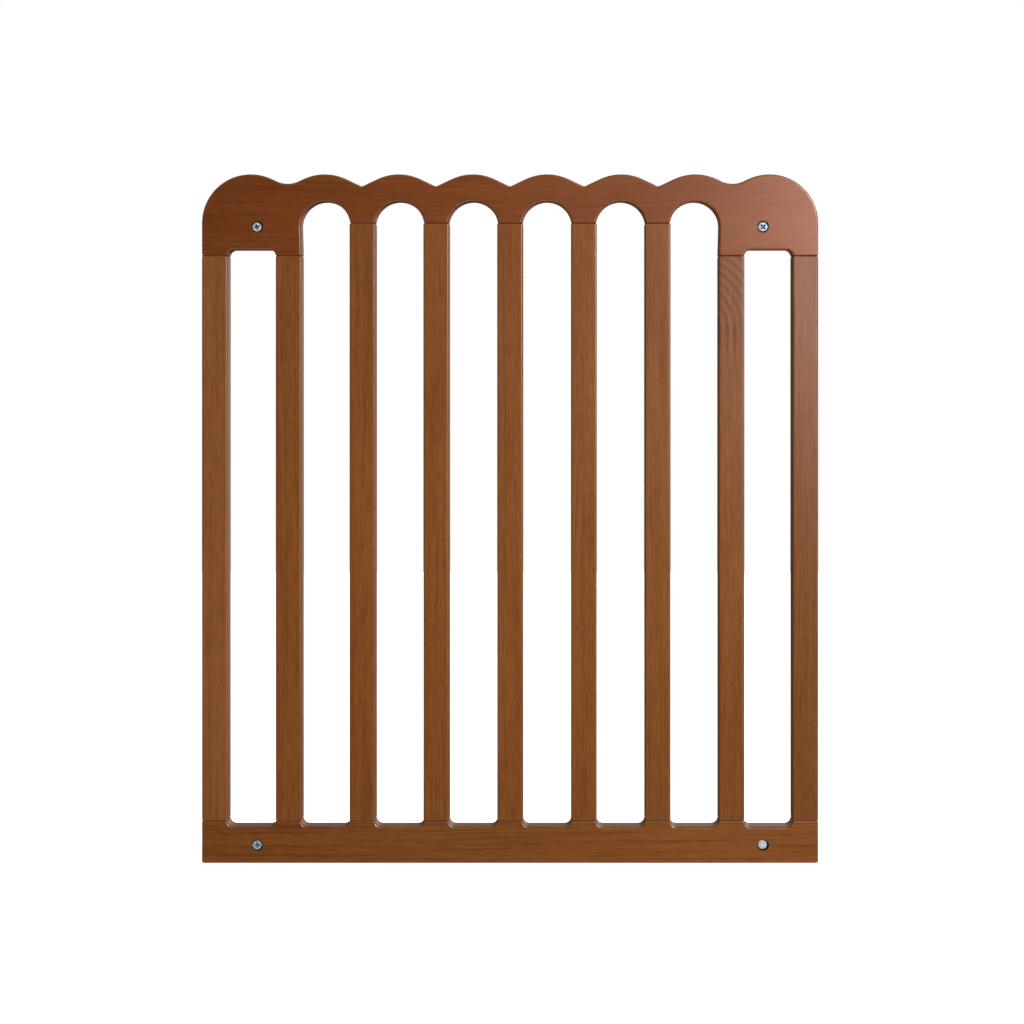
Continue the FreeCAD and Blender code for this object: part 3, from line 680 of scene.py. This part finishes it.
def build_spindle(corner, material):
    """An M8 spindle with a rolled thread, a journal with the ring's groove and a key's socket."""
    node = "spindle_" + corner
    matrix, end, face, outer = fixing(node)
    core = outer - THREAD_DEPTH

    def fill(builder):
        thread_rows(builder, end, THREAD_START, outer)
        turned(builder, [(end, 0.0), (end, core)], SPINDLE_SIDES)
        turned(builder, [
            (THREAD_START, core), (THREAD_START, JOURNAL_ROUND),
            (GROOVE_PLACE - GROOVE_HALF, JOURNAL_ROUND),
            (GROOVE_PLACE - GROOVE_HALF, GROOVE_ROUND),
            (GROOVE_PLACE + GROOVE_HALF, GROOVE_ROUND),
            (GROOVE_PLACE + GROOVE_HALF, JOURNAL_ROUND),
            (face - JOURNAL_BEVEL, JOURNAL_ROUND), (face, JOURNAL_ROUND - JOURNAL_BEVEL),
            (face, hexagon), (face - SOCKET_DEPTH, hexagon), (face - SOCKET_DEPTH, 0.0),
        ], SPINDLE_SIDES)

    piece = make_piece("thread_" + corner, fill, material, THREAD_SMOOTH)
    stand_in(piece, node, "spindle_" + corner, matrix)


PAD_HOLE = 2.6 * MM
PAD_RIM = 1.0 * MM
PAD_BEVEL = 0.3 * MM
PAD_GROOVES = (3.7 * MM, 4.7 * MM, 5.7 * MM)
PAD_GROOVE_HALF = 0.22 * MM
PAD_GROOVE_DEPTH = 0.35 * MM
PAD_GROOVE_SHAPE = ((0.0, 1.6), (1.0, 0.8), (1.0, -0.8), (0.0, -1.6))   # of depth and half width


def build_foot_pad(corner, material):
    """A rubber pad with a rounded rim and rings moulded into its face."""
    node = "foot_pad_" + corner
    matrix, back, face, outer = fixing(node)
    profile = [(back, PAD_HOLE), (back, outer)]
    profile += arc((face - PAD_RIM, outer - PAD_RIM), PAD_RIM, 90.0, 0.0, 6)
    for middle in reversed(PAD_GROOVES):
        for depth, out in PAD_GROOVE_SHAPE:
            profile.append((face - depth * PAD_GROOVE_DEPTH, middle + out * PAD_GROOVE_HALF))
    profile += [(face, PAD_HOLE + PAD_BEVEL), (face - PAD_BEVEL, PAD_HOLE)]
    piece = make_piece("pad_" + corner,
                       lambda builder: turned(builder, profile, closed=True), material)
    stand_in(piece, node, "foot_" + corner, matrix)


# -------------------------------------------------------------------------------------- the stage
FLOOR_HALF = 3.0
FLOOR_GAP = 0.2 * MM
STUDIO_RIGHT = 0.88                     # how bright the studio's right and left walls are,
STUDIO_LEFT = 0.45
STUDIO_BELOW = 2.4                      # the glow from its floor, straight below
STUDIO_LEVEL = 0.05                     # and from the horizon up,
STUDIO_ABOVE = 0.32                     # and its ceiling
STUDIO_COLOUR = (1.0, 0.96, 0.97, 1.0)
FLOOR_COLOUR = (1.0, 0.78, 0.60, 1.0)
DAYLIGHT = (1.0, 0.985, 0.97)
PINK = (1.0, 0.74, 0.76)
WARM = (1.0, 0.93, 0.86)


def build_floor():
    """A wide pale floor, lit through from below like a photographer's table."""
    mesh = bpy.data.meshes.new("floor")
    builder = bmesh.new()
    bmesh.ops.create_grid(builder, x_segments=1, y_segments=1, size=FLOOR_HALF)
    builder.to_mesh(mesh)
    builder.free()
    floor = bpy.data.objects.new("floor", mesh)
    floor.location.z = CAD_BOX[0].z - FLOOR_GAP
    floor.visible_diffuse = False
    floor.visible_glossy = False
    bpy.context.scene.collection.objects.link(floor)
    graph = Graph("pale_floor")
    place = graph.add("TexCoord", {}, "Object")
    cloud = graph.noise(place, (2.0, 2.0, 2.0), 3.0)
    colour = graph.ramp(cloud, [(0.2, grey(0.90)), (0.8, grey(0.93))])
    graph.finish(Base_Color=colour, Roughness=0.85, Specular_IOR_Level=0.1,
                 Emission_Color=(1.0, 1.0, 1.0, 1.0), Emission_Strength=0.9)
    mesh.materials.append(graph.material)


def add_lamp(name, kind, place, target, energy, colour, glossy=True, **settings):
    """A lamp at place that shines at target; without glossy it gives no highlights."""
    light = bpy.data.lights.new(name, kind)
    light.energy = energy
    light.color = colour
    for key, value in settings.items():
        setattr(light, key, value)
    lamp = bpy.data.objects.new(name, light)
    lamp.visible_glossy = glossy
    lamp.location = place
    lamp.rotation_euler = (Vector(target) - Vector(place)).to_track_quat("-Z", "Y").to_euler()
    bpy.context.scene.collection.objects.link(lamp)


def build_world():
    """White to the eye; for light and gloss, a dim studio with a bright wall on the right."""
    world = bpy.data.worlds.new("studio")
    bpy.context.scene.world = world
    world.use_nodes = True
    tree = world.node_tree
    tree.nodes.clear()

    def add(kind, **settings):
        node = tree.nodes.new("ShaderNode" + kind)
        for name, value in settings.items():
            setattr(node, name, value)
        return node

    def shade(source, low, high, least, most):
        node = add("MapRange", interpolation_type="SMOOTHSTEP")
        tree.links.new(source, node.inputs["Value"])
        for name, value in (("From Min", low), ("From Max", high), ("To Min", least),
                            ("To Max", most)):
            node.inputs[name].default_value = value
        return node.outputs[0]

    def combine(operation, first, second):
        node = add("Math", operation=operation)
        for socket, value in zip(node.inputs, (first, second)):
            if isinstance(value, bpy.types.NodeSocket):
                tree.links.new(value, socket)
            else:
                socket.default_value = value
        return node.outputs[0]

    parts = add("SeparateXYZ")
    tree.links.new(add("TexCoord").outputs["Generated"], parts.inputs[0])
    across, away, up = parts.outputs
    wall = combine("MULTIPLY", shade(across, -0.05, 0.50, 0.0, STUDIO_RIGHT),
                   shade(up, -0.35, 0.05, 0.1, 1.0))
    wall = combine("ADD", wall, shade(across, -0.80, -0.30, STUDIO_LEFT, 0.0))
    glow = shade(up, -0.95, -0.50, STUDIO_BELOW, STUDIO_LEVEL)
    ceiling = shade(up, 0.05, 0.35, 0.0, STUDIO_ABOVE)
    dim = shade(away, -0.9, -0.1, 0.15, 1.0)
    studio = add("AddShader")
    for socket, light, colour in ((0, combine("ADD", wall, ceiling), STUDIO_COLOUR),
                                  (1, glow, FLOOR_COLOUR)):
        part = add("Background")
        tree.links.new(combine("MULTIPLY", light, dim), part.inputs["Strength"])
        part.inputs["Color"].default_value = colour
        tree.links.new(part.outputs[0], studio.inputs[socket])
    seen = add("Background")
    seen.inputs["Color"].default_value = (1.0, 1.0, 1.0, 1.0)
    seen.inputs["Strength"].default_value = 1.0
    choose = add("MixShader")
    tree.links.new(add("LightPath").outputs["Is Camera Ray"], choose.inputs[0])
    tree.links.new(studio.outputs[0], choose.inputs[1])
    tree.links.new(seen.outputs[0], choose.inputs[2])
    tree.links.new(choose.outputs[0], add("OutputWorld").inputs[0])


def build_camera():
    """The photo's eye, level and square on to the gate, with its picture shifted."""
    data = bpy.data.cameras.new("eye")
    data.sensor_width = SENSOR
    data.lens = SENSOR * EYE_DISTANCE / PICTURE_SPAN
    data.shift_x = (PICTURE_CENTRE.x - EYE.x) / PICTURE_SPAN
    data.shift_y = (PICTURE_CENTRE.y - EYE.z) / PICTURE_SPAN
    camera = bpy.data.objects.new("eye", data)
    camera.location = EYE
    camera.rotation_euler = (math.radians(90.0), 0.0, 0.0)
    bpy.context.scene.collection.objects.link(camera)
    bpy.context.scene.camera = camera


def build_stage():
    """The camera, the floor, the studio and its lamps."""
    bpy.context.scene.view_settings.view_transform = "Standard"
    build_camera()
    build_floor()
    build_world()
    add_lamp("sky", "SUN", (1.5, -2.2, 0.9), (0.0, 0.0, 0.0), 1.95, DAYLIGHT,
             angle=math.radians(22.0))
    add_lamp("key", "SPOT", (1.62, -2.2, 1.32), (0.06, 0.0, 0.42), 210.0, DAYLIGHT,
             spot_size=math.radians(21.5), spot_blend=1.0, shadow_soft_size=0.45)
    add_lamp("sheen", "AREA", (0.78, -1.60, 0.94), (0.31, 0.0, 0.64), 9.6, PINK,
             shape="RECTANGLE", size=0.3, size_y=0.9)
    add_lamp("back", "SUN", (-1.2, 2.4, 0.5), (0.0, 0.0, 0.0), 0.9, WARM,
             glossy=False, angle=math.radians(30.0))


# -------------------------------------------------------------------------------------- finishing
EVERYWHERE = 1.0                        # a reach past both ends of the gate
SLAT_TONES = (0.14, 0.0, 0.0, 0.01, 0.02, 0.04, 0.06, 0.06, 0.0)
# slat_1's tint is its stain; slat_9's greyer, bluer tint is a painted sheen
SLAT_TINTS_AND_SHEEN = {"slat_1": (1.0, 1.03, 1.30), "slat_9": (1.0, 1.03, 1.15)}
FIGURED_SLAT = "slat_8"
# for each nut: its cross's turn and how far it stands aside, its tint, which makes lighter and
# darker
# # copies of the one plating as painted light, where its lit face sits inside the painted shade
# ring,
# # how dark the painted shade in its recess is
NUTS = {
    "top_left": (20.0, -0.8, (1.50, 1.42, 1.36), (-0.50, 0.0), 0.90),
    "top_right": (42.0, 0.0, (0.85, 0.92, 1.05), (0.0, 0.0), 0.80),
    "bottom_left": (2.0, 0.0, (1.05, 1.12, 1.12), (0.0, 0.0), 0.66),
    "bottom_right": (None, 0.0, (1.75, 1.50, 1.42), (-0.35, 0.30), 0.0),
}
RIBBED_NUTS = ("top_right", "bottom_left")


def finish_wood():
    """Each board gets its own stain and grain, and grooves at its own joints."""
    outer = (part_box("slat_1")[1].z, EVERYWHERE, UPPER_JOINT)
    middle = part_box("slat_5")[1].z
    lower = (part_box("slat_1")[0].z, EVERYWHERE, LOWER_JOINT)
    inner_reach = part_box("slat_8")[0].x - 5.0 * MM
    cuts = {
        "top_rail": (Wood(False, 1, tone=-0.10, pith=(0.05, 0.50), slope=-1.0, line=0.21,
                          spacing=0.85, warp=14.0, fibre=0.40, bend=-0.34,
                          tint=(1.0, 0.83, 0.70), fleck=0.10, painted_light_drift=0.45, fade=0.22),
                     [outer, (middle, inner_reach, UPPER_JOINT)]),
        "bottom_rail": (Wood(False, 2, tone=-0.02, pith=(0.07, -0.09), slope=0.5, line=0.28,
                             spacing=1.1, fibre=0.60, fleck=0.20, painted_light_drift=0.42), [lower]),
    }
    for number, name in enumerate(SLATS):
        top = outer if name in OUTER_SLATS else (middle, EVERYWHERE, UPPER_JOINT)
        pith = (0.045, 0.10 + 0.02 * number)
        figure = 0.28 if name == FIGURED_SLAT else 0.0
        cuts[name] = (Wood(True, 3 + number, tone=SLAT_TONES[number], pith=pith, line=0.16,
                           slope=0.6 * math.sin(2.1 * number), figure=figure, fibre=0.78,
                           fleck=0.32, tint=SLAT_TINTS_AND_SHEEN.get(name, (1.0, 1.0, 1.0)),
                           left=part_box(name)[0].x),
                      [lower, top])
    for name, (wood, joints) in cuts.items():
        NODES[name].material_slots[0].material = stained_beech("beech_" + name, wood, joints)


def finish_fittings():
    """Materials for the plain fittings, and detailed pieces for the rest."""
    zinc = zinc_plate()
    rubber = foot_rubber()
    kinds = (("dowels_", raw_beech()), ("foot_cup_", zinc), ("snap_ring_", spring_steel()))
    for name, node in NODES.items():
        for start, material in kinds:
            if name.startswith(start):
                node.material_slots[0].material = material
    for corner in CORNERS:
        build_barrel_nut(corner, zinc, *NUTS[corner])
        build_spindle(corner, zinc)
        build_foot_pad(corner, rubber)


finish_wood()
finish_fittings()
build_stage()
